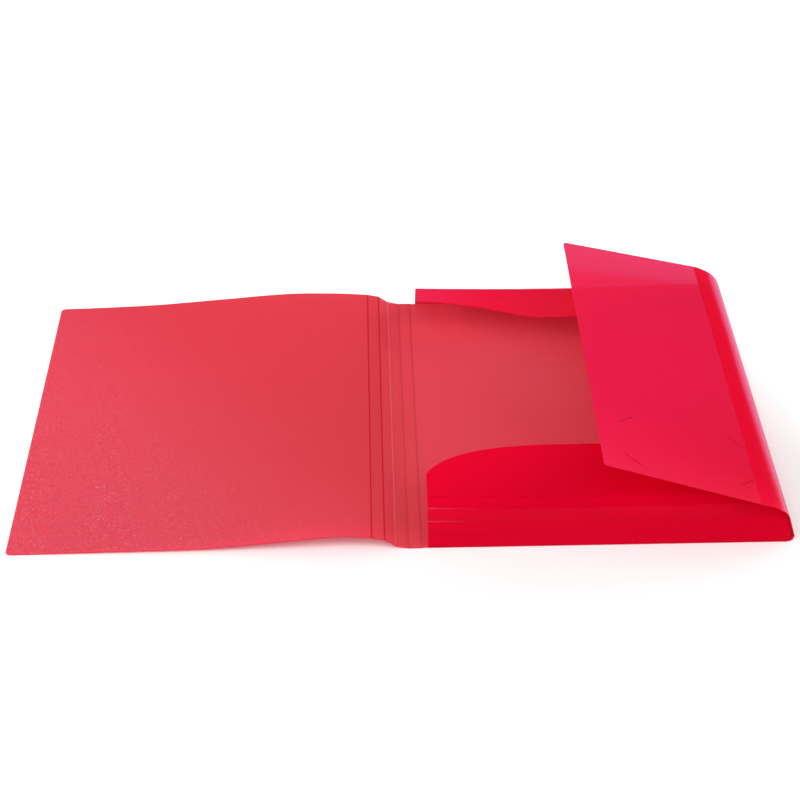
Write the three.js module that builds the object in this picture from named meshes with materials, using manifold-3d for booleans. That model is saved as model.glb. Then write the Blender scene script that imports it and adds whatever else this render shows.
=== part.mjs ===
// Three-flap document folder for A4 sheets, die-cut and creased from one sheet of red polypropylene.
// It lies open on a table: the front cover to the left, the creased spine, the back panel,
// and three flaps that fold over the back panel, each on a band of capacity creases.
// Millimetres, +Z up. The origin is the middle of the back panel's resting face.
// +X runs from the spine to the side flap, +Y from the near flap to the far flap.

import * as THREE from 'three';
import { mergeVertices } from 'three/addons/utils/BufferGeometryUtils.js';
import Module from 'manifold-3d';

const wasm = await Module();
wasm.setup();

// Sheet
const sheet = 0.5;
const edgeRound = 0.2;
const foldClearance = 0.2;

// Overall sizes of the closed folder
const panelWidth = 243;
const panelHeight = 320;
const coverWidth = 237;

// Width of one strip between two neighbouring creases
const spineStrip = 8.6;
const endStrip = 8.5;
const sideStrip = 9.9;

// Flaps, measured from their last crease to the free edge
const sideFlapReach = 107.5;
const nearFlapReach = 54;
const nearFlapShoulder = 22.5;
const farFlapReach = 57;
const farFlapShoulder = 24.5;

// Insets of the flap ends from the panel's corners
const sideInsetAtPanel = 5;
const sideInsetAtFlap = 0.5;
const sideInsetAtFreeEdge = 9;
const endInsetAtSpine = 4.2;
const endInsetAtShoulder = 35;
// Near and far bands, beside the side band: one inset for each crease, from the panel to the flap
const endInsetsAtCorner = [6, 3.8, 5.8, 9.8, 15];

// Corner radii
const coverCorner = 3.5;
const panelCorner = 5;
const flapCorner = 3;
const stripCorner = 0.6;

// Degrees that each crease turns the sheet up as the folder lies open, from the panel outwards.
// The first turn past the spine's last crease follows from the cover resting on the table.
const spineTurns = [0, 12, 23.5, -23.5];
const sideTurns = [106, 0, 34, 20, 5];
const endTurns = [122, 0, 4, 27, 20.5];

// Largest turn of each crease over the whole motion, which sets its clearance. The middle creases
// of the spine keep their set when the cover closes.
const spineLargest = [84, 12, 23.5, 23.5, 85];
const sideLargest = [106, 15, 34, 20, 5];
const endLargest = [122, 15, 4, 27, 20.5];

// Arch of the relaxed cover above the straight line from its crease to its free edge:
// [distance from the crease, height], along the near edge and along the far edge
const archNear = [[20, 2.3], [60, 0.2], [108, -2.1], [170, -1.3]];
const archFar = [[22, 2.3], [60, 4.1], [110, 2.1], [160, -0.1], [200, -0.4]];
const coverSteps = 30;
const coverRows = 6;

// Slits in the side flap that hold the corners of a business card
const cardLength = 85;
const cardWidth = 54;
const cardFromCrease = 5;
const cardFromEnd = 19;
const slitLength = 14;
const slitWidth = 0.6;
const slitSetIn = 3.5;

const rad = THREE.MathUtils.degToRad;

const mattInside = { color: '#d6444f', roughness: 0.55, metalness: 0 };
const glossOutside = { color: '#e00428', roughness: 0.22, metalness: 0 };

function piece(name, geometry, finish) {
  const mesh = new THREE.Mesh(geometry, new THREE.MeshStandardMaterial(finish));
  mesh.name = name;
  return mesh;
}

// Distance from a crease's axis to the edge of the sheet beside it. Two edges that are set back
// this far keep the fold clearance between them at the crease's largest turn.
function setBack(largestTurn) {
  const inside = (Math.PI - rad(Math.abs(largestTurn))) / 2;
  return (sheet + foldClearance) / 2 / Math.sin(inside) - sheet / 2;
}

// Closed outline through corner points [along X, along Y, radius], with rounded corners.
function roundedOutline(corners) {
  const outline = new THREE.Shape();
  corners.forEach(([x, y, radius], i) => {
    const corner = new THREE.Vector2(x, y);
    const before = new THREE.Vector2(...corners.at(i - 1).slice(0, 2));
    const after = new THREE.Vector2(...corners[(i + 1) % corners.length].slice(0, 2));
    const start = before.sub(corner).setLength(radius).add(corner);
    const end = after.sub(corner).setLength(radius).add(corner);
    if (i === 0) outline.moveTo(start.x, start.y);
    else outline.lineTo(start.x, start.y);
    outline.quadraticCurveTo(corner.x, corner.y, end.x, end.y);
  });
  outline.closePath();
  return outline;
}

// Flat sheet over an outline, with softened edges, its middle plane at Z = 0.
function flatSheet(outline) {
  const depth = sheet - 2 * edgeRound;
  const geometry = new THREE.ExtrudeGeometry(outline, {
    depth,
    bevelThickness: edgeRound,
    bevelSize: edgeRound,
    bevelOffset: -edgeRound,
    bevelSegments: 2,
    curveSegments: 4,
  });
  return geometry.translate(0, 0, -depth / 2);
}

function toSolid(geometry) {
  const bare = geometry.clone();
  bare.deleteAttribute('normal');
  bare.deleteAttribute('uv');
  const merged = mergeVertices(bare, 1e-4);
  const solid = new wasm.Mesh({
    numProp: 3,
    vertProperties: new Float32Array(merged.attributes.position.array),
    triVerts: new Uint32Array(merged.index.array),
  });
  return new wasm.Manifold(solid);
}

function toGeometry(solid) {
  const mesh = solid.getMesh();
  const geometry = new THREE.BufferGeometry();
  geometry.setAttribute('position', new THREE.BufferAttribute(mesh.vertProperties, 3));
  geometry.setIndex(new THREE.BufferAttribute(mesh.triVerts, 1));
  geometry.computeVertexNormals();
  return geometry;
}

// One strip between two creases. Its ends are [low, high] along the first and second crease.
function stripGeometry(width, setIn, setOut, endsIn, endsOut) {
  return flatSheet(roundedOutline([
    [setIn, endsIn[0], stripCorner],
    [width - setOut, endsOut[0], stripCorner],
    [width - setOut, endsOut[1], stripCorner],
    [setIn, endsIn[1], stripCorner],
  ]));
}

// A chain of creases. Each crease is a group that turns everything beyond it, so the strips and
// the flap hang one from the other as they do in the sheet. X points away from the panel.
function creaseChain(turns, width) {
  const creases = turns.map((turn, i) => {
    const crease = new THREE.Group();
    crease.rotation.y = -rad(turn);
    crease.position.x = i === 0 ? 0 : width;
    return crease;
  });
  creases.slice(1).forEach((crease, i) => creases[i].add(crease));
  return creases;
}

// Ends of the band of strips at each crease, going evenly from the panel's to the flap's.
function bandEnds(atPanel, atFlap, count) {
  return Array.from({ length: count + 1 }, (_, i) => [
    THREE.MathUtils.lerp(atPanel[0], atFlap[0], i / count),
    THREE.MathUtils.lerp(atPanel[1], atFlap[1], i / count),
  ]);
}

function addStrips(creases, label, width, largest, ends, finish) {
  creases.slice(0, -1).forEach((crease, i) => {
    const geometry = stripGeometry(width, setBack(largest[i]), setBack(largest[i + 1]), ends[i], ends[i + 1]);
    crease.add(piece(`${label}_strip_${i + 1}`, geometry, finish));
  });
}

// Back panel
const left = -panelWidth / 2 + setBack(spineLargest[0]);
const right = panelWidth / 2 - setBack(sideLargest[0]);
const far = panelHeight / 2 - setBack(endLargest[0]);
const backPanel = piece('back_panel', flatSheet(roundedOutline([
  [left, -far, stripCorner],
  [right, -far, panelCorner],
  [right, far, panelCorner],
  [left, far, stripCorner],
])), mattInside);
backPanel.position.z = sheet / 2;

// Spine, four strips wide, and the front cover beyond it
const spineRise = spineTurns.slice(1).reduce(
  (state, turn) => {
    const heading = state.heading + turn;
    return { heading, height: state.height + spineStrip * Math.sin(rad(heading)) };
  },
  { heading: 0, height: 0 },
);
const coverSlope = THREE.MathUtils.radToDeg(Math.asin(spineRise.height / coverWidth));
const spineCreases = creaseChain([...spineTurns, -spineRise.heading - coverSlope], spineStrip);
const fullHeight = [-panelHeight / 2, panelHeight / 2];
addStrips(spineCreases, 'spine', spineStrip, spineLargest, bandEnds(fullHeight, fullHeight, 4), mattInside);

function archCurve(points) {
  const knots = [[0, 0], ...points, [coverWidth, 0]];
  return new THREE.SplineCurve(knots.map(([x, height]) => new THREE.Vector2(x, height)));
}

// Height of the arch at a distance from the crease, on one edge of the cover
function archHeight(samples, distance) {
  const next = samples.findIndex((point) => point.x >= distance);
  if (next <= 0) return next === 0 ? samples[0].y : samples.at(-1).y;
  const [a, b] = [samples[next - 1], samples[next]];
  return THREE.MathUtils.mapLinear(distance, a.x, b.x, a.y, b.y);
}

// The cover is a long flat section swept from the near edge to the far edge and bent to its arch,
// then trimmed to its outline with two rounded corners on the free edge.
function coverGeometry() {
  const nearSamples = archCurve(archNear).getPoints(80);
  const farSamples = archCurve(archFar).getPoints(80);
  const setIn = setBack(spineLargest[4]);
  const section = new THREE.Shape();
  const span = coverWidth - setIn;
  section.moveTo(setIn, 0);
  for (let i = 0; i <= coverSteps; i += 1) {
    const inside = i === 0 || i === coverSteps ? edgeRound : 0;
    const x = THREE.MathUtils.clamp(setIn + (span * i) / coverSteps, setIn + inside, coverWidth - inside);
    section.lineTo(x, -sheet / 2);
  }
  section.lineTo(coverWidth, 0);
  for (let i = coverSteps; i >= 0; i -= 1) {
    const inside = i === 0 || i === coverSteps ? edgeRound : 0;
    const x = THREE.MathUtils.clamp(setIn + (span * i) / coverSteps, setIn + inside, coverWidth - inside);
    section.lineTo(x, sheet / 2);
  }
  section.closePath();
  const swept = new THREE.ExtrudeGeometry(section, { depth: panelHeight, steps: coverRows, bevelEnabled: false });
  swept.rotateX(Math.PI / 2).translate(0, panelHeight / 2, 0);
  const position = swept.attributes.position;
  for (let i = 0; i < position.count; i += 1) {
    const nearShare = position.getY(i) / panelHeight + 0.5;
    const x = position.getX(i);
    const height = THREE.MathUtils.lerp(archHeight(farSamples, x), archHeight(nearSamples, x), nearShare);
    position.setZ(i, position.getZ(i) + height);
  }
  const half = panelHeight / 2;
  const outline = roundedOutline([
    [setIn - 1, -half, stripCorner],
    [coverWidth, -half, coverCorner],
    [coverWidth, half, coverCorner],
    [setIn - 1, half, stripCorner],
  ]);
  const reach = 2 * Math.max(...archFar.concat(archNear).map(([, height]) => Math.abs(height))) + sheet;
  const blank = new THREE.ExtrudeGeometry(outline, { depth: 2 * reach, bevelEnabled: false, curveSegments: 5 });
  blank.translate(0, 0, -reach);
  return toGeometry(toSolid(swept).intersect(toSolid(blank)));
}
spineCreases[4].add(piece('front_cover', coverGeometry(), mattInside));

// Side flap, with four slits across the corners of a business card
const halfHeight = panelHeight / 2;
const sideAtPanel = [-halfHeight + sideInsetAtPanel, halfHeight - sideInsetAtPanel];
const sideAtFlap = [-halfHeight + sideInsetAtFlap, halfHeight - sideInsetAtFlap];
const sideAtFree = [-halfHeight + sideInsetAtFreeEdge, halfHeight - sideInsetAtFreeEdge];
const sideCreases = creaseChain(sideTurns, sideStrip);
addStrips(sideCreases, 'side', sideStrip, sideLargest, bandEnds(sideAtPanel, sideAtFlap, 4), glossOutside);

function sideFlapGeometry() {
  const setIn = setBack(sideLargest[4]);
  const flap = flatSheet(roundedOutline([
    [setIn, sideAtFlap[0], stripCorner],
    [sideFlapReach, sideAtFree[0], flapCorner],
    [sideFlapReach, sideAtFree[1], flapCorner],
    [setIn, sideAtFlap[1], stripCorner],
  ]));
  const middle = [cardFromCrease + cardLength / 2, -halfHeight + cardFromEnd + cardWidth / 2];
  let solid = toSolid(flap);
  for (const alongX of [-1, 1]) {
    for (const alongY of [-1, 1]) {
      const slit = new THREE.BoxGeometry(slitLength, slitWidth, 4 * sheet);
      slit.rotateZ((-alongX * alongY * Math.PI) / 4);
      slit.translate(
        middle[0] + alongX * (cardLength / 2 - slitSetIn),
        middle[1] + alongY * (cardWidth / 2 - slitSetIn),
        0,
      );
      solid = solid.subtract(toSolid(slit));
    }
  }
  return toGeometry(solid);
}
sideCreases[4].add(piece('side_flap', sideFlapGeometry(), glossOutside));

// Near and far flaps: straight shoulders at the two ends, and a free edge between them. The near
// flap's edge turns off its shoulder quickly, the far flap's runs out first and then rises.
// From shoulder to crest the edge is a cubic with these handles, [away from the crease, along it].
const crestLength = 18;
const nearEdge = { shoulderHandle: [21.5, 11], crestHandle: 47 };
const farEdge = { shoulderHandle: [2, 50], crestHandle: 20 };

function endFlap(label, mirror, reach, shoulder, { shoulderHandle, crestHandle }) {
  const atSpine = -panelWidth / 2 + endInsetAtSpine;
  const atCorner = endInsetsAtCorner.map((inset) => panelWidth / 2 - inset);
  const atFlapEnd = atCorner[4];
  const atShoulder = panelWidth / 2 - endInsetAtShoulder;
  const alongCrease = (low, high) => (mirror ? [-high, -low] : [low, high]);
  const creases = creaseChain(endTurns, endStrip);
  const ends = atCorner.map((corner) => alongCrease(atSpine, corner));
  addStrips(creases, label, endStrip, endLargest, ends, glossOutside);
  const [low, high] = alongCrease(atSpine, atFlapEnd);
  const [lowShoulder, highShoulder] = alongCrease(atSpine, atShoulder);
  const crest = (lowShoulder + highShoulder) / 2;
  const [crestLow, crestHigh] = [crest - crestLength / 2, crest + crestLength / 2];
  const setIn = setBack(endLargest[4]);
  const outline = new THREE.Shape();
  outline.moveTo(setIn, low);
  outline.lineTo(shoulder, lowShoulder);
  outline.bezierCurveTo(
    shoulder + shoulderHandle[0], lowShoulder + shoulderHandle[1],
    reach, crestLow - crestHandle,
    reach, crestLow,
  );
  outline.lineTo(reach, crestHigh);
  outline.bezierCurveTo(
    reach, crestHigh + crestHandle,
    shoulder + shoulderHandle[0], highShoulder - shoulderHandle[1],
    shoulder, highShoulder,
  );
  outline.lineTo(setIn, high);
  outline.closePath();
  creases[4].add(piece(`${label}_flap`, flatSheet(outline), glossOutside));
  return creases[0];
}

// The chains start on the four edges of the back panel, in the sheet's middle plane.
function placeChain(chain, x, y, turn) {
  const edge = new THREE.Group();
  edge.position.set(x, y, sheet / 2);
  edge.rotation.z = turn;
  edge.add(chain);
  return edge;
}

const folder = new THREE.Group();
folder.add(backPanel);
folder.add(placeChain(spineCreases[0], -panelWidth / 2, 0, Math.PI));
folder.add(placeChain(sideCreases[0], panelWidth / 2, 0, 0));
const nearChain = endFlap('bottom', false, nearFlapReach, nearFlapShoulder, nearEdge);
const farChain = endFlap('top', true, farFlapReach, farFlapShoulder, farEdge);
folder.add(placeChain(nearChain, 0, -halfHeight, -Math.PI / 2));
folder.add(placeChain(farChain, 0, halfHeight, Math.PI / 2));

export default folder;
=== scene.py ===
"""A three-flap document folder of red polypropylene, lying open as in the photograph."""

import math

import bpy
from mathutils import Matrix, Vector


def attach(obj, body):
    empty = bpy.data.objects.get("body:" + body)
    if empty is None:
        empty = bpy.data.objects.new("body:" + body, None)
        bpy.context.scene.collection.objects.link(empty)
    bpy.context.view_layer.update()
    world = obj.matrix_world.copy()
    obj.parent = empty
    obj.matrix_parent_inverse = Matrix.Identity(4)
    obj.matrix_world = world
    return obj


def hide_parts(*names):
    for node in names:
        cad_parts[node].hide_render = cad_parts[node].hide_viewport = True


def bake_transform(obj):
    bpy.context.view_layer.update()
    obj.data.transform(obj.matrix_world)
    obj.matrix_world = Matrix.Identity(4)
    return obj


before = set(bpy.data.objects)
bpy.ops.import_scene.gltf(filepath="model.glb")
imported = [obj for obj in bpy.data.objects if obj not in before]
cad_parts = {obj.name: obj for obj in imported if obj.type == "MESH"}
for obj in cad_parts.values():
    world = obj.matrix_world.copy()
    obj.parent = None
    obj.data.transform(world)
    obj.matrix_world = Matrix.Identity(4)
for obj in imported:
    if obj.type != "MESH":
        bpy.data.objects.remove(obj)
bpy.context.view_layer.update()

# Back panel
# The back of the folder, flat on the table with its sanded side up. The whole folder is die-cut from
# one sheet of translucent polypropylene, finely sanded inside and smooth from the roller outside.
# The panel's edges run into the creases around it, and the die rounds its two free corners.
SHEET = 0.0005
WEB = 0.0005
TABLE_LEVEL = SHEET / 2
HALF_WIDTH, HALF_HEIGHT = 0.1215, 0.16
PANEL_CORNER = 0.005
ROUNDING_ANGLES = (0, 15, 30, 45, 60, 75, 85)
SMOOTH_UP_TO = math.radians(40)
CLOUDS = {"Scale": 14.0, "Detail": 3.0, "Roughness": 0.5}
SAND = {"Scale": 900.0, "Detail": 2.0, "Roughness": 0.7}
MOTTLE = {"Scale": 420.0, "Detail": 1.0, "Roughness": 0.6}
# Painted light on the sanded grain: bright pink glints and darker grain between them, laid only where a
# finish's pale tone spreads.
GRAIN_PAINTED_SHADE, GRAIN_PAINTED_GLINT = (0.62, 0.04, 0.065, 1.0), (1.0, 0.42, 0.45, 1.0)
GRAIN_PAINTED_SHADE_SHARE = 0.3
DEEP_TONE_BLOCKS = 0.6
SAND_ON_ROUGHNESS, CLOUDS_ON_ROUGHNESS = 0.12, 0.06
SMOOTHEST_BUMP, SMOOTHEST_DEPTH, DEPTH_OF_GRAIN = 0.25, 0.00004, 0.0001
POLYPROPYLENE_IOR = 1.49
EVEN = (0.3, 0, 0, 0)
SANDED_GLOW = (1.0, 0.3, 0.36)


class Shade:
    """One socket of a material, so that shader maths reads as plain sums."""

    def __init__(self, tree, socket):
        self.tree = tree
        self.socket = socket

    @classmethod
    def node(cls, tree, kind, out=0, settings=None, **sockets):
        """Any node. Sockets go by name, or by number where the name starts with an underscore."""
        made = tree.nodes.new(kind)
        for key, value in (settings or {}).items():
            setattr(made, key, value)
        for key, value in sockets.items():
            target = made.inputs[int(key[1:])] if key[0] == "_" else made.inputs[key.replace("_", " ")]
            if isinstance(value, cls):
                tree.links.new(value.socket, target)
            else:
                target.default_value = value
        return cls(tree, made.outputs[out])

    def sum(self, operation, other, turned=False):
        first, second = (other, self) if turned else (self, other)
        return Shade.node(self.tree, "ShaderNodeMath", settings={"operation": operation}, _0=first, _1=second)

    def __add__(self, other):
        return self.sum("ADD", other)

    def __sub__(self, other):
        return self.sum("SUBTRACT", other)

    def __mul__(self, other):
        return self.sum("MULTIPLY", other)

    def __rsub__(self, other):
        return self.sum("SUBTRACT", other, turned=True)

    __radd__ = __add__
    __rmul__ = __mul__

    def span(self, low, high):
        """0 at low, 1 at high, and smooth between them."""
        return Shade.node(
            self.tree, "ShaderNodeMapRange", settings={"interpolation_type": "SMOOTHSTEP"},
            Value=self, From_Min=low, From_Max=high,
        )

    def between(self, first, second):
        """The first colour where this value is 0 and the second where it is 1."""
        return Shade.node(
            self.tree, "ShaderNodeMix", out=2, settings={"data_type": "RGBA"}, _0=self, _6=first, _7=second,
        )


def linear(colour):
    """A colour given as it looks on screen, in the values that the shader wants."""
    def one(value):
        value = value / 255
        return value / 12.92 if value < 0.04045 else ((value + 0.055) / 1.055) ** 2.4
    return (*(one(value) for value in colour), 1.0)


def finish_of(
    name, body, pale, lean=EVEN, glow=SANDED_GLOW, roughness=0.6, grain=0.25, gloss=0.2, painted_glints=0.0,
    patchy=0.3, through=0.4, see=0.1, tint=None, deep=None,
):
    """A finish of the sheet. Its body colour gives way to the pale one where the lean says (a start,
    and the growth per metre along X, Y and Z), in patches. A deep tone can lie over both (its start,
    its growth along X and Y, its colour). Through and see are the shares of light that pass milky and
    clear, coloured by glow and tint. The strength of the sanding's glints sets how strongly painted
    glints and painted shade are laid on the grain."""
    material = bpy.data.materials.new(name)
    material.use_nodes = True
    tree = material.node_tree
    tree.nodes.clear()
    place = Shade.node(tree, "ShaderNodeTexCoord", out=3)
    x, y, z = [Shade.node(tree, "ShaderNodeSeparateXYZ", out=axis, Vector=place) for axis in range(3)]
    clouds = Shade.node(tree, "ShaderNodeTexNoise", Vector=place, **CLOUDS)
    sand = Shade.node(tree, "ShaderNodeTexNoise", Vector=place, **SAND)
    spread = x * lean[1] + y * lean[2] + z * lean[3] + lean[0]
    light = spread + (clouds - 0.5) * patchy + (sand - 0.5) * grain
    colour = light.span(0.0, 1.0).between(linear(body), linear(pale))
    if deep:
        start, along_x, along_y, deep_colour = deep
        depth = (x * along_x + y * along_y + start).span(0.0, 1.0)
        colour = depth.between(colour, linear(deep_colour))
        through = (1 - depth * DEEP_TONE_BLOCKS) * through
    # Painted glints and painted shade on the sanding, only where the pale tone spreads.
    if painted_glints:
        near = spread.span(0.1, 1.1)
        mottle = Shade.node(tree, "ShaderNodeTexNoise", Vector=place, **MOTTLE)
        colour = (mottle.span(0.5, 0.25) * near * GRAIN_PAINTED_SHADE_SHARE).between(colour, GRAIN_PAINTED_SHADE)
        colour = (sand.span(0.55, 0.68) * near * painted_glints).between(colour, GRAIN_PAINTED_GLINT)
    bump = Shade.node(
        tree, "ShaderNodeBump", Height=sand, Strength=SMOOTHEST_BUMP + grain,
        Distance=SMOOTHEST_DEPTH + DEPTH_OF_GRAIN * grain,
    )
    sheet = Shade.node(
        tree, "ShaderNodeBsdfPrincipled", Base_Color=colour, Normal=bump,
        Roughness=roughness + (sand - 0.5) * SAND_ON_ROUGHNESS + (clouds - 0.5) * CLOUDS_ON_ROUGHNESS,
        Specular_IOR_Level=gloss, IOR=POLYPROPYLENE_IOR,
    )
    milky = Shade.node(tree, "ShaderNodeBsdfTranslucent", Color=(*glow, 1.0))
    clear = Shade.node(tree, "ShaderNodeBsdfTransparent", Color=(*(tint or glow), 1.0))
    sheet_and_glow = Shade.node(tree, "ShaderNodeMixShader", _0=through, _1=sheet, _2=milky)
    whole = Shade.node(tree, "ShaderNodeMixShader", _0=see, _1=sheet_and_glow, _2=clear)
    surface = tree.nodes.new("ShaderNodeOutputMaterial").inputs["Surface"]
    tree.links.new(whole.socket, surface)
    return material


def evenly(low, high, count):
    return [low + (high - low) * i / count for i in range(count + 1)]


def steps(low, high, count, crowd=()):
    """Even steps from low to high, with the crowded ones added."""
    return sorted(set(evenly(low, high, count) + [value for value in crowd if low < value < high]))


def rounded(reach, end, radius):
    """How far a rounded corner pulls the sheet's side in, at a reach towards the end."""
    into = reach - (end - radius)
    return radius - math.sqrt(max(radius ** 2 - into ** 2, 0.0)) if into > 0 else 0.0


def corner_steps(end, radius):
    return [end - radius * (1 - math.sin(math.radians(angle))) for angle in ROUNDING_ANGLES]


def lay_sheet(name, rows, finishes, thickness=SHEET):
    """Lays a grid over rows of points and gives it its thickness. The finishes are those of the side
    that the rows face, of the other side and of the cut edge."""
    bpy.ops.object.select_all(action="DESELECT")
    bpy.ops.mesh.primitive_grid_add(x_subdivisions=len(rows) - 1, y_subdivisions=len(rows[0]) - 1, size=1)
    piece = bpy.context.object
    piece.name = piece.data.name = name
    flat = [row[column] for column in range(len(rows[0])) for row in rows]
    for vertex, place in zip(piece.data.vertices, flat):
        vertex.co = place
    for finish in finishes:
        piece.data.materials.append(finish)
    bpy.ops.object.mode_set(mode="EDIT")
    bpy.ops.mesh.select_all(action="SELECT")
    bpy.ops.mesh.remove_doubles(threshold=1e-6)
    bpy.ops.object.mode_set(mode="OBJECT")
    wall = piece.modifiers.new("sheet thickness", "SOLIDIFY")
    wall.thickness = thickness
    wall.offset = 0.0
    wall.use_even_offset = True
    wall.material_offset = 1
    wall.material_offset_rim = 2
    bpy.ops.object.modifier_apply(modifier=wall.name)
    bpy.ops.object.shade_smooth_by_angle(angle=SMOOTH_UP_TO)
    return piece


# The panel is painted paler towards its right and far edges: painted light that offsets the shade under the
# side and far flaps.
PANEL = finish_of(
    "sanded_panel_painted_paler_under_flaps", (250, 84, 99), (246, 103, 117), lean=(0.6, 9.0, 6.0, 0), through=0.3,
    deep=(-89.3, 330.0, -330.0, (232, 4, 50)),
)
# The smooth outer side is painted darker low down and paler higher up: painted shade on the steep bands near
# the table, painted light on the flaps above.
OUTER = finish_of(
    "smooth_outer_side", (215, 0, 46), (248, 0, 56), lean=(-0.9, 0, 0, 60), glow=(1.0, 0.06, 0.3),
    roughness=0.25, grain=0.04, gloss=0.03, see=0.15, tint=(1.0, 0.25, 0.5),
)
CUT = finish_of("die_cut_edge", (220, 16, 58), (236, 30, 76), roughness=0.4, grain=0.1, gloss=0.1)
right, far = HALF_WIDTH - WEB, HALF_HEIGHT - WEB
panel_rows = []
for x in steps(-right, right, 60, corner_steps(right, PANEL_CORNER)):
    side = far - rounded(x, right, PANEL_CORNER)
    panel_rows.append([Vector((x, y, TABLE_LEVEL)) for y in evenly(-side, side, 40)])
panel = lay_sheet("panel_sheet", panel_rows, (PANEL, OUTER, CUT))
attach(panel, "back_panel")
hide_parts("back_panel")


# Spine
# Four strips of the same sheet between five pressed creases, which let the spine stand as high as
# the stack inside. Each crease is a thin bent web. The sheet springs up here and carries the cover
# clear of the table, and the strips of that slope are painted a little paler: painted light against
# their shade.
SPINE_STRIP = 0.0086
SPINE_TURNS = [0, 12, 23.5, -23.5]
COVER_WIDTH = 0.237
WHOLE_HEIGHT = (-HALF_HEIGHT, HALF_HEIGHT)
WEB_THINNING = 0.9
WEB_STEPS = (6, 24)
# The sanded side is painted paler towards the cover's near left, as painted light from the white table
# shining up through the sheet, with painted glints there. The sloping spine strips get a lighter copy,
# painted light against their shade.
PAINTED_LIGHT_TO_COVER = (-0.7, -4.2, -2.4, 0)
INNER = finish_of("sanded_inner_side", (243, 78, 89), (252, 92, 114), lean=PAINTED_LIGHT_TO_COVER, painted_glints=0.8)
SLOPE_PAINTED_LIGHTER = finish_of("sanded_slope_of_spine_painted_lighter", (255, 89, 101), (255, 98, 116), lean=PAINTED_LIGHT_TO_COVER)
CREASE = finish_of("pressed_crease", (240, 74, 90), (246, 80, 96), roughness=0.5, grain=0.1)
# Two copies of the crease carry painted light: a darker one on the fourth and fifth spine creases is painted
# shade in the fold, and a brighter one on the third, paler towards the far end, is a painted highlight.
CREASE_PAINTED_SHADE = finish_of(
    "crease_with_painted_shade", (226, 28, 48), (232, 40, 60), glow=(1.0, 0.1, 0.16), roughness=0.4, grain=0.1, gloss=0.1,
)
FAINT_CREASE = finish_of(
    "faint_crease", (244, 77, 92), (248, 82, 96), glow=(1.0, 0.26, 0.32), roughness=0.55, grain=0.1,
    gloss=0.15,
)
CREASE_PAINTED_HIGHLIGHT = finish_of(
    "crease_with_painted_highlight", (255, 106, 120), (255, 118, 132), lean=(0.2, 0, 3.0, 0), roughness=0.4, grain=0.1,
    through=0.2,
)
# The outside of a crease is painted darker low down and paler higher up, like the smooth outer side, with
# painted highlight streaks in pale pink towards the spine end.
CREASE_OUT = finish_of(
    "crease_outside_painted_shade_and_highlight", (213, 0, 45), (246, 0, 55), lean=(-0.9, 0, 0, 60), glow=(1.0, 0.06, 0.3),
    roughness=0.25, grain=0.04, gloss=0.04, tint=(1.0, 0.25, 0.5), deep=(-0.7, -9.0, 0, (255, 96, 136)),
)


class Run:
    """A run of the sheet from one edge of the back panel outwards, folded at each of its creases."""

    def __init__(self, edge, outward, turns, width):
        self.outward = Vector(outward)
        self.up = Vector((0, 0, 1))
        self.along = self.up.cross(self.outward)
        self.headings = [0.0]
        self.points = [Vector(edge)]
        for step, turn in enumerate(turns):
            self.headings.append(self.headings[-1] + math.radians(turn))
            if step < len(turns) - 1:
                self.points.append(self.points[-1] + self.direction(step + 1) * width)

    def direction(self, area):
        angle = self.headings[area]
        return self.outward * math.cos(angle) + self.up * math.sin(angle)

    def normal(self, area):
        return self.normal_at(self.headings[area])

    def normal_at(self, angle):
        return self.up * math.cos(angle) - self.outward * math.sin(angle)

    def settle(self, place):
        """Where the sheet comes to rest: a run between two stiff edges stays where it is folded."""
        return place

    def on_area(self, area, reach, along, rise=0.0):
        """The place on area 1, 2 and so on, at a reach past its crease."""
        return self.settle(
            self.points[area - 1] + self.direction(area) * reach
            + self.along * along + self.normal(area) * rise
        )

    def on_crease(self, crease, share, along, web=WEB):
        """The place on the bent web of crease 1, 2 and so on, from 0 at its start to 1 at its end."""
        before, after = self.headings[crease - 1], self.headings[crease]
        start = self.points[crease - 1] - self.direction(crease - 1) * web
        if abs(after - before) < 1e-4:
            return self.settle(start + self.direction(crease) * (2 * web * share) + self.along * along)
        radius = web / math.tan((after - before) / 2)
        centre = start + self.normal_at(before) * radius
        bent = centre - self.normal_at(before + (after - before) * share) * radius
        return self.settle(bent + self.along * along)


def lay_crease(name, run, crease, ends, bodies, inner=CREASE, outer=CREASE_OUT, web=WEB):
    """Lays the web of one crease. Where the two bodies it joins are the same it goes to that body; otherwise
    it is left loose, with its place baked in.
    """
    rows = [
        [run.on_crease(crease, share, along, web) for along in evenly(*ends, WEB_STEPS[1])]
        for share in evenly(0, 1, WEB_STEPS[0])
    ]
    piece = lay_sheet(name, rows, (inner, outer, CUT), thickness=SHEET * WEB_THINNING)
    if bodies[0] == bodies[1]:
        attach(piece, bodies[0])
    else:
        middle = sum(ends) / 2
        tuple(run.on_crease(crease, 0, middle, web))
        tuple(run.on_crease(crease, 1, middle, web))
        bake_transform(piece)


rise = 0.0
heading = 0.0
for turn in SPINE_TURNS[1:]:
    heading += math.radians(turn)
    rise += SPINE_STRIP * math.sin(heading)
cover_turn = -math.degrees(heading + math.asin(rise / COVER_WIDTH))
spine = Run((-HALF_WIDTH, 0, TABLE_LEVEL), (-1, 0, 0), SPINE_TURNS + [cover_turn], SPINE_STRIP)
for number, inner in enumerate((SLOPE_PAINTED_LIGHTER, SLOPE_PAINTED_LIGHTER, SLOPE_PAINTED_LIGHTER, INNER), start=1):
    rows = [
        [spine.on_area(number, reach, along) for along in evenly(*WHOLE_HEIGHT, 40)]
        for reach in steps(WEB, SPINE_STRIP - WEB, 4)
    ]
    strip = lay_sheet(f"spine_sheet_{number}", rows, (inner, OUTER, CUT))
    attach(strip, "spine")
    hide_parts(f"spine_strip_{number}")
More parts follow.
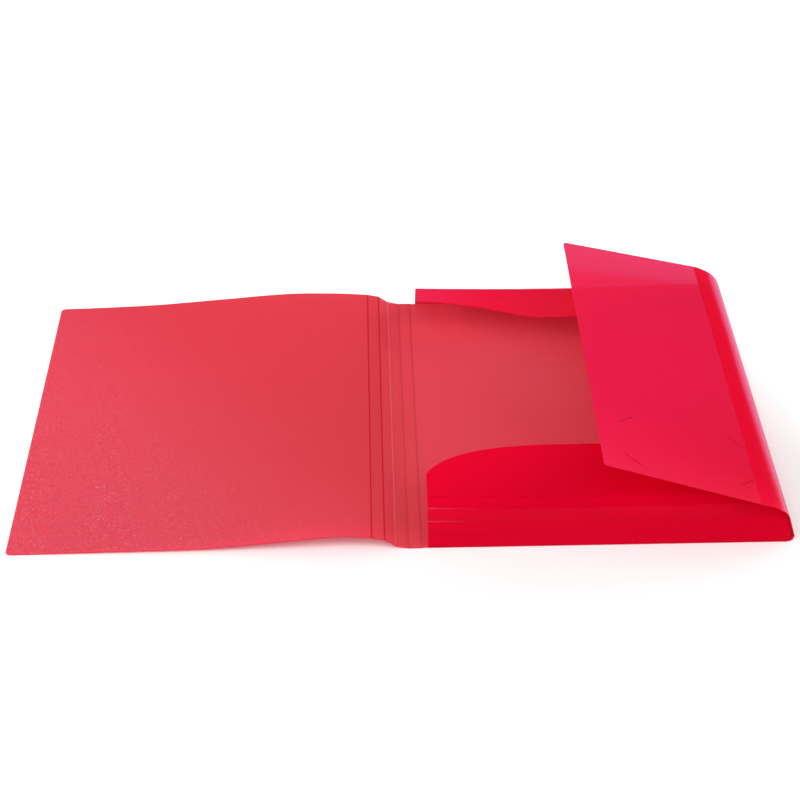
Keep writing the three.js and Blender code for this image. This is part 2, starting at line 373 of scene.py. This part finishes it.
for number, inner in enumerate((FAINT_CREASE, CREASE, CREASE_PAINTED_HIGHLIGHT, CREASE_PAINTED_SHADE, CREASE_PAINTED_SHADE), start=1):
    joined = ("back_panel" if number == 1 else "spine", "front_cover" if number == 5 else "spine")
    lay_crease(f"spine_web_{number}", spine, number, WHOLE_HEIGHT, joined, inner=inner)


# Front cover
# The front of the folder, opened flat to the left, of the same sheet and held by the spine alone. It
# has sprung into a long shallow arch, higher at the far edge, and touches the table again along its
# free edge with its two corners rounded by the die. The arches give heights at reaches in mm.
ARCH_NEAR = [(0, 0), (20, 2.3), (60, 0.2), (108, -2.1), (170, -1.3), (237, 0)]
ARCH_FAR = [(0, 0), (22, 2.3), (60, 4.1), (110, 2.1), (160, -0.1), (200, -0.4), (237, 0)]
COVER_CORNER = 0.0035


def arch(points, reach):
    """Height of the sprung sheet over its chord, smooth through the points, in metres."""
    reach = reach * 1000
    slopes = []
    for i in range(len(points)):
        a, b = points[max(i - 1, 0)], points[min(i + 1, len(points) - 1)]
        slopes.append((b[1] - a[1]) / (b[0] - a[0]))
    for i in range(len(points) - 1):
        (x0, y0), (x1, y1) = points[i], points[i + 1]
        if reach <= x1 or i == len(points) - 2:
            t, w = (reach - x0) / (x1 - x0), x1 - x0
            height = (
                y0 * (2 * t ** 3 - 3 * t ** 2 + 1) + y1 * (3 * t ** 2 - 2 * t ** 3)
                + slopes[i] * w * (t ** 3 - 2 * t ** 2 + t) + slopes[i + 1] * w * (t ** 3 - t ** 2)
            )
            return height / 1000


cover_rows = []
for reach in steps(WEB, COVER_WIDTH, 90, corner_steps(COVER_WIDTH, COVER_CORNER)):
    side = HALF_HEIGHT - rounded(reach, COVER_WIDTH, COVER_CORNER)
    row = []
    for along in evenly(-side, side, 60):
        near = 0.5 + along / (2 * HALF_HEIGHT)
        lift = near * arch(ARCH_NEAR, reach) + (1 - near) * arch(ARCH_FAR, reach)
        row.append(spine.on_area(5, reach, along, lift))
    cover_rows.append(row)
cover = lay_sheet("cover_sheet", cover_rows, (INNER, OUTER, CUT))
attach(cover, "front_cover")
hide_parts("front_cover")


# Side flap
# The long flap opposite the spine, on a band of four strips, folded in over the documents with its
# smooth side up. The die cuts four slanted slits in it for the corners of a business card. Its band
# carries a painted highlight along the outer fold, and its free edge stands up.
SIDE_STRIP = 0.0099
SIDE_TURNS = [106, 0, 34, 20, 5]
SIDE_REACH = 0.1075
SIDE_END_PANEL, SIDE_END_FLAP, SIDE_END_FREE = 0.155, 0.1595, 0.151
SIDE_WEBS = (WEB, WEB, 0.0042, 0.004, 0.002)
FLAP_CORNER = 0.003
CARD = (0.085, 0.054)
CARD_FROM_CREASE, CARD_FROM_END = 0.005, 0.019
SLIT_LENGTH, SLIT_WIDTH, SLIT_DEPTH = 0.014, 0.0006, 0.004
SLIT_SET_IN = 0.0035
SMOOTH_GLOW = (1.0, 0.2, 0.45)
# The inner side of the side band is a deeper red than the sanded side elsewhere: a painted glow, so that the
# shaded gap at the near corner reads red.
SIDE_LINING = finish_of(
    "sanded_inner_side_of_side_band", (242, 44, 66), (250, 60, 84), glow=(1.0, 0.16, 0.3), gloss=0.1,
    through=0.6, see=0.3, tint=(1.0, 0.2, 0.4),
)
# The outer side of the band is painted pale pink towards its outer fold, and more so towards the far end: a
# painted highlight.
SIDE_BAND = finish_of(
    "smooth_outer_side_of_side_band", (251, 0, 54), (255, 96, 160), lean=(-21.6, 200, 2.0, 0),
    glow=SMOOTH_GLOW, roughness=0.2, grain=0.04, gloss=0.02, patchy=0.7, through=0.3, see=0.06,
)
# The third crease of the side band is painted pale pink: a painted highlight on the rounded fold.
FOLD_PAINTED_HIGHLIGHT = finish_of(
    "fold_with_painted_highlight", (255, 92, 146), (255, 112, 164), glow=SMOOTH_GLOW, roughness=0.25, grain=0.1, gloss=0.1,
    through=0.3, see=0.05,
)
UNDER_FLAPS = finish_of(
    "sanded_inner_side_of_flaps", (249, 79, 91), (255, 95, 116), glow=(1.0, 0.4, 0.46), through=0.55,
    see=0.25, tint=(1.0, 0.45, 0.52),
)
# The flap's smooth side is painted paler at its far end, painted light for the white table shining through it
# there, and turns a deeper red towards its near right end.
SIDE_OUTER = finish_of(
    "smooth_outer_side_of_side_flap", (251, 17, 82), (243, 52, 107), lean=(-5.9, -11.6, 58.0, 0),
    glow=SMOOTH_GLOW, roughness=0.25, grain=0.04, gloss=0.06, through=0.3, see=0.16, tint=(1.0, 0.4, 0.72),
    deep=(-0.4, 6.0, -5.0, (240, 4, 56)),
)
# The slits' walls are painted dark, as painted shade inside the narrow cuts, and paler towards the flap's
# crease and its near end.
SLIT_WALL = finish_of(
    "slit_wall_painted_shade", (170, 4, 30), (240, 44, 86), lean=(-2.3, 20.0, -8.0, 0), glow=(1.0, 0.05, 0.1),
    roughness=0.4, grain=0.1, gloss=0.05,
)


def between(low, high, share):
    return low + (high - low) * share


side_run = Run((HALF_WIDTH, 0, TABLE_LEVEL), (1, 0, 0), SIDE_TURNS, SIDE_STRIP)
side_bodies = ["back_panel"] + [f"side_strip_{i}" for i in range(1, 5)] + ["side_flap"]
side_ends = [between(SIDE_END_PANEL, SIDE_END_FLAP, i / 4) for i in range(5)]
for number, outer in enumerate((OUTER, OUTER, SIDE_BAND, SIDE_BAND), start=1):
    rows = []
    for reach in steps(SIDE_WEBS[number - 1], SIDE_STRIP - SIDE_WEBS[number], 4):
        end = between(side_ends[number - 1], side_ends[number], reach / SIDE_STRIP)
        rows.append([side_run.on_area(number, reach, along) for along in evenly(-end, end, 40)])
    strip = lay_sheet(f"side_sheet_{number}", rows, (SIDE_LINING, outer, CUT))
    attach(strip, side_bodies[number])
    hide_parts(f"side_strip_{number}")
for number, outer in enumerate((OUTER, OUTER, FOLD_PAINTED_HIGHLIGHT, SIDE_BAND, SIDE_BAND), start=1):
    end = side_ends[number - 1]
    lay_crease(
        f"side_web_{number}", side_run, number, (-end, end), side_bodies[number - 1:number + 1], outer=outer,
        web=SIDE_WEBS[number - 1],
    )
flap_rows = []
for reach in steps(SIDE_WEBS[4], SIDE_REACH, 50, corner_steps(SIDE_REACH, FLAP_CORNER)):
    end = between(SIDE_END_FLAP, SIDE_END_FREE, reach / SIDE_REACH) - rounded(reach, SIDE_REACH, FLAP_CORNER)
    flap_rows.append([side_run.on_area(5, reach, along) for along in evenly(-end, end, 60)])
side_flap = lay_sheet("side_flap_sheet", flap_rows, (UNDER_FLAPS, SIDE_OUTER, CUT))
on_flap = Matrix((side_run.direction(5), side_run.along, side_run.normal(5))).transposed().to_4x4()
for across in (-1, 1):
    for lengthwise in (-1, 1):
        bpy.ops.object.select_all(action="DESELECT")
        bpy.ops.mesh.primitive_cube_add(size=1)
        blade = bpy.context.object
        reach = CARD_FROM_CREASE + CARD[0] / 2 + across * (CARD[0] / 2 - SLIT_SET_IN)
        along = -HALF_HEIGHT + CARD_FROM_END + CARD[1] / 2 + lengthwise * (CARD[1] / 2 - SLIT_SET_IN)
        slant = Matrix.Rotation(-across * lengthwise * math.pi / 4, 4, "Z")
        shape = Matrix.Diagonal((SLIT_LENGTH, SLIT_WIDTH, SLIT_DEPTH, 1))
        blade.data.transform(Matrix.Translation(side_run.on_area(5, reach, along)) @ on_flap @ slant @ shape)
        blade.data.materials.append(SLIT_WALL)
        bpy.ops.object.select_all(action="DESELECT")
        side_flap.select_set(True)
        bpy.context.view_layer.objects.active = side_flap
        cut = side_flap.modifiers.new("slit", "BOOLEAN")
        cut.object = blade
        cut.operation = "DIFFERENCE"
        cut.solver = "EXACT"
        cut.material_mode = "TRANSFER"
        bpy.ops.object.modifier_apply(modifier=cut.name)
        bpy.data.objects.remove(blade)
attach(side_flap, "side_flap")
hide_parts("side_flap")


# Near and far flaps
# The two short flaps fold in under the side flap, each on a band of four strips. The die gives each
# straight shoulders beside its last crease and a free edge that sweeps up to a flat crest. The free
# sheet hangs a little between its stiffer ends, and the near band's middle creases carry painted
# highlight streaks.
END_STRIP = 0.0085
END_TURNS = [122, 0, 4, 27, 20.5]
SPINE_END, SHOULDER_END = -0.1173, 0.0865
CORNER_ENDS = [0.116, 0.118, 0.1157, 0.1117, 0.1065]
CREST = 0.018
SAG, SAG_LENGTH = 0.08, 0.2
NEAR_EDGE = {
    "reach": 0.054, "shoulder": 0.0225, "shoulder handle": (0.0215, 0.011), "crest handle": 0.047,
    "sag": 1.0,
}
FAR_EDGE = {
    "reach": 0.057, "shoulder": 0.0245, "shoulder handle": (0.002, 0.05), "crest handle": 0.02,
    "sag": 0.1,
}
# The far flap's smooth side is a brighter copy of the outer side, painted light against the side flap's
# shade, and is painted paler towards its spine end as a painted reflection.
FAR_OUTER = finish_of(
    "smooth_outer_side_of_far_flap", (255, 0, 62), (255, 48, 104), lean=(-0.45, -9.0, 0, 0),
    glow=(1.0, 0.06, 0.3), roughness=0.25, grain=0.04, gloss=0.02, through=0.2, see=0.04,
    tint=(1.0, 0.2, 0.4),
)
NEAR_WEBS = (OUTER, OUTER, CREASE_OUT, CREASE_OUT, OUTER)
FAR_WEBS = (FAR_OUTER,) * 5


class HangingRun(Run):
    """A run whose free sheet hangs lower in the middle, by a share of its height."""

    sag = SAG

    def settle(self, place):
        share = min(max((place.x - SPINE_END) / SAG_LENGTH, 0.0), 1.0)
        place.z *= 1 - self.sag * math.sin(math.pi * share)
        return place


def sweep(edge, low, crest, share):
    """The free edge from a shoulder to the crest: its reach and its place along the crease."""
    out, along = edge["shoulder handle"]
    a, b, c, d = (
        (edge["shoulder"], low), (edge["shoulder"] + out, low + math.copysign(along, crest - low)),
        (edge["reach"], crest - math.copysign(edge["crest handle"], crest - low)), (edge["reach"], crest),
    )
    weights = ((1 - share) ** 3, 3 * share * (1 - share) ** 2, 3 * share ** 2 * (1 - share), share ** 3)
    return [sum(w * p[k] for w, p in zip(weights, (a, b, c, d))) for k in (0, 1)]


def end_flap(label, run, mirror, edge, outer, webs):
    """Lays the band and the flap at one end of the panel."""
    def spread(low, high):
        return (-high, -low) if mirror else (low, high)

    bodies = ["back_panel"] + [f"{label}_strip_{i}" for i in range(1, 5)] + [f"{label}_flap"]
    ends = [spread(SPINE_END, corner) for corner in CORNER_ENDS]
    for number in range(1, 5):
        rows = []
        for reach in steps(WEB, END_STRIP - WEB, 4):
            first, last = [between(ends[number - 1][k], ends[number][k], reach / END_STRIP) for k in (0, 1)]
            rows.append([run.on_area(number, reach, along) for along in evenly(first, last, 30)])
        strip = lay_sheet(f"{label}_sheet_{number}", rows, (UNDER_FLAPS, outer, CUT))
        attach(strip, bodies[number])
        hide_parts(f"{label}_strip_{number}")
    for number, pressed in enumerate(webs, start=1):
        joined = bodies[number - 1:number + 1]
        lay_crease(f"{label}_web_{number}", run, number, ends[number - 1], joined, outer=pressed)
    low, high = ends[4]
    low_shoulder, high_shoulder = spread(SPINE_END, SHOULDER_END)
    middle = (low_shoulder + high_shoulder) / 2
    outline = []
    for reach in steps(WEB, edge["shoulder"], 8):
        share = reach / edge["shoulder"]
        outline.append((reach, between(low, low_shoulder, share), between(high, high_shoulder, share)))
    for share in evenly(0, 1, 40)[1:]:
        reach, first = sweep(edge, low_shoulder, middle - CREST / 2, share)
        last = sweep(edge, high_shoulder, middle + CREST / 2, share)[1]
        outline.append((reach, first, last))
    rows = []
    for reach, first, last in outline:
        run.sag = SAG * between(1, edge["sag"], reach / edge["reach"])
        rows.append([run.on_area(5, reach, along) for along in evenly(first, last, 60)])
    flap = lay_sheet(f"{label}_flap_sheet", rows, (UNDER_FLAPS, outer, CUT))
    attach(flap, bodies[5])
    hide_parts(f"{label}_flap")


near_run = HangingRun((0, -HALF_HEIGHT, TABLE_LEVEL), (0, -1, 0), END_TURNS, END_STRIP)
far_run = HangingRun((0, HALF_HEIGHT, TABLE_LEVEL), (0, 1, 0), END_TURNS, END_STRIP)
end_flap("bottom", near_run, False, NEAR_EDGE, OUTER, NEAR_WEBS)
end_flap("top", far_run, True, FAR_EDGE, FAR_OUTER, FAR_WEBS)


# Table
# A wide matt white sheet of board under the folder, just clear of its underside. Seen by the camera
# it grows whiter away from the folder, as a lit backdrop does, and so keeps the shadow beside it.
TABLE_SIZE, TABLE_CLEARANCE = 24, 0.0002
TABLE_WHITE, TABLE_ROUGHNESS = 0.93, 0.7
SHADOW_CENTRE = (-0.05, -0.35, 0)
BASE_GLOW, BACKDROP_GLOW, FAR_GLOW = 0.05, 0.4, 0.3
CAMERA_RAY, GLOSSY_RAY, TRANSMISSION_RAY = 0, 3, 6

bpy.ops.object.select_all(action="DESELECT")
bpy.ops.mesh.primitive_plane_add(size=TABLE_SIZE, location=(0, 0, -TABLE_CLEARANCE))
table = bpy.context.object
table.name = "table_top"
table.data.transform(table.matrix_world)
table.matrix_world = Matrix.Identity(4)
white = bpy.data.materials.new("white_table")
white.use_nodes = True
board = white.node_tree.nodes["Principled BSDF"].inputs
board["Base Color"].default_value = (TABLE_WHITE, TABLE_WHITE, TABLE_WHITE, 1)
board["Roughness"].default_value = TABLE_ROUGHNESS
board["Emission Strength"].default_value = 1.0
seen, mirrored, seen_through = [
    Shade.node(white.node_tree, "ShaderNodeLightPath", out=kind)
    for kind in (CAMERA_RAY, GLOSSY_RAY, TRANSMISSION_RAY)
]
place = Shade.node(white.node_tree, "ShaderNodeTexCoord", out=3)
distance = Shade.node(
    white.node_tree, "ShaderNodeVectorMath", out=1, settings={"operation": "DISTANCE"},
    _0=place, _1=SHADOW_CENTRE,
)
backdrop = distance.span(0.3, 0.55) * BACKDROP_GLOW + distance.span(1.2, 3.0) * FAR_GLOW + BASE_GLOW
whiteness = (seen + mirrored + seen_through) * backdrop
white.node_tree.links.new(whiteness.socket, board["Emission Color"])
table.data.materials.append(white)


# Light
# Four square softboxes round the table in a white room: one in front, one to the right, a strong one
# low on the left that lights the cover, and one behind on the right for the side flap's edge.
ROOM_STRENGTH = 0.41
LAMPS = {
    "key_softbox": {"place": (-0.25, -1.5, 1.7), "aim": (-0.05, 0, 0), "size": 1.6, "power": 14},
    "right_softbox": {"place": (1.2, -1.1, 1.4), "aim": (0.1, 0, 0), "size": 1.4, "power": 13},
    "left_softbox": {"place": (-2.2, -0.9, 1.1), "aim": (0.0, 0.05, 0), "size": 1.2, "power": 33},
    "rim_softbox": {"place": (1.5, 0.9, 0.8), "aim": (0.1, 0, 0), "size": 1.0, "power": 9},
}

room = bpy.data.worlds.new("room")
room.use_nodes = True
room.node_tree.nodes["Background"].inputs["Color"].default_value = (1, 1, 1, 1)
room.node_tree.nodes["Background"].inputs["Strength"].default_value = ROOM_STRENGTH
bpy.context.scene.world = room
for name, lamp in LAMPS.items():
    softbox = bpy.data.lights.new(name, "AREA")
    softbox.shape = "SQUARE"
    softbox.size = lamp["size"]
    softbox.energy = lamp["power"]
    stand = bpy.data.objects.new(name, softbox)
    bpy.context.collection.objects.link(stand)
    stand.location = lamp["place"]
    stand.rotation_euler = (Vector(lamp["aim"]) - Vector(lamp["place"])).to_track_quat("-Z", "Y").to_euler()


# Camera
# It stands in front of the folder and above it, where the photograph was taken, and looks down by
# the pitch, with a slight yaw and roll. The focal length is given in pixels of the photograph.
CAMERA_PLACE = (-0.1539, -1.2599, 0.806)
PITCH, YAW, ROLL = 0.5617, -0.0173, -0.0075
FOCAL_PIXELS, FRAME_PIXELS, SENSOR_WIDTH = 2100.3, 800, 36

sway = Matrix.Rotation(YAW, 3, "Z")
rightward = sway @ Vector((1, 0, 0))
ahead = sway @ Vector((0, math.cos(PITCH), -math.sin(PITCH)))
upward = sway @ Vector((0, math.sin(PITCH), math.cos(PITCH)))
tilted_right = rightward * math.cos(ROLL) + upward * math.sin(ROLL)
tilted_up = upward * math.cos(ROLL) - rightward * math.sin(ROLL)
optics = bpy.data.cameras.new("camera")
optics.sensor_width = SENSOR_WIDTH
optics.lens = FOCAL_PIXELS / FRAME_PIXELS * SENSOR_WIDTH
camera = bpy.data.objects.new("camera", optics)
bpy.context.collection.objects.link(camera)
axes = Matrix((tilted_right, tilted_up, -ahead)).transposed().to_4x4()
camera.matrix_world = Matrix.Translation(CAMERA_PLACE) @ axes
bpy.context.scene.camera = camera
bpy.context.scene.view_settings.view_transform = "Standard"
